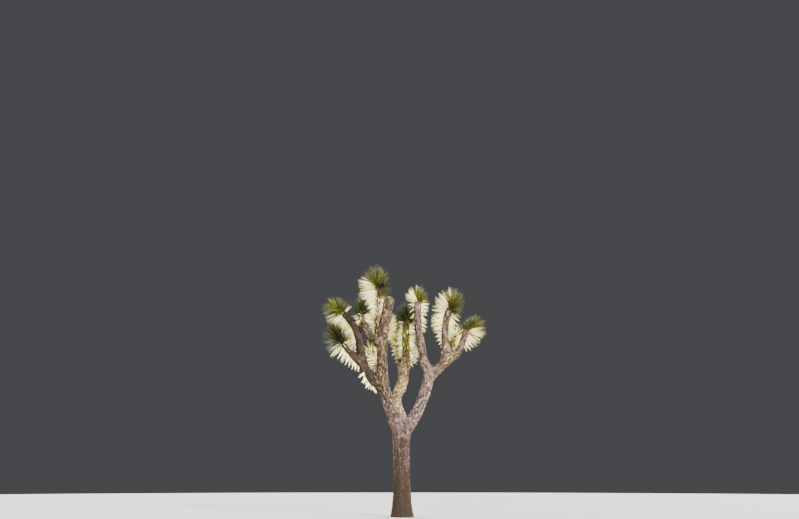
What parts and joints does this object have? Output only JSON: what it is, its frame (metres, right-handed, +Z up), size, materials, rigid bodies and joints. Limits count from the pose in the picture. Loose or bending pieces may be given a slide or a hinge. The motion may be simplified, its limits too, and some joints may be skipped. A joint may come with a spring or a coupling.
{
  "type": "joshua tree",
  "caption": "Whole desert tree: a stout flared trunk forks into thick bare limbs, each tipped with a round head of stiff dagger leaves.",
  "frame": {"origin": "middle of the flat cut under the trunk, at ground level", "axes": "+Z up along the trunk, -Y towards the side the picture was taken from, +X to the picture's right"},
  "size_m": [3.4893, 1.9426, 5.0772],
  "materials": {
    "bark": "rough furrowed grey-brown bark broken into small blocks",
    "foliage": "stiff leaves, grey-green when young and pale straw when old"
  },
  "bodies": {
    "root": {"trunk": "bark", "bough_left": "bark", "bough_middle": "bark", "bough_right": "bark", "limb_middle": "bark", "limb_centre": "bark", "limb_fork_right": "bark", "limb_far_right": "bark", "limb_upright_right": "bark", "limb_low_left": "bark", "limb_outer_left": "bark", "limb_inner_left": "bark", "limb_top": "bark", "limb_back_1": "bark", "limb_back_2": "bark", "limb_back_3": "bark", "limb_back_4": "bark", "limb_back_5": "bark", "limb_back_6": "bark", "limb_back_7": "bark", "leaves_middle": "foliage", "leaves_centre": "foliage", "leaves_far_right": "foliage", "leaves_upright_right": "foliage", "leaves_low_left": "foliage", "leaves_outer_left": "foliage", "leaves_inner_left": "foliage", "leaves_top": "foliage", "leaves_back_1": "foliage", "leaves_back_2": "foliage", "leaves_back_3": "foliage", "leaves_back_4": "foliage", "leaves_back_5": "foliage", "leaves_back_6": "foliage", "leaves_back_7": "foliage", "leaves_skirt": "foliage"}
  },
  "joints": []
}
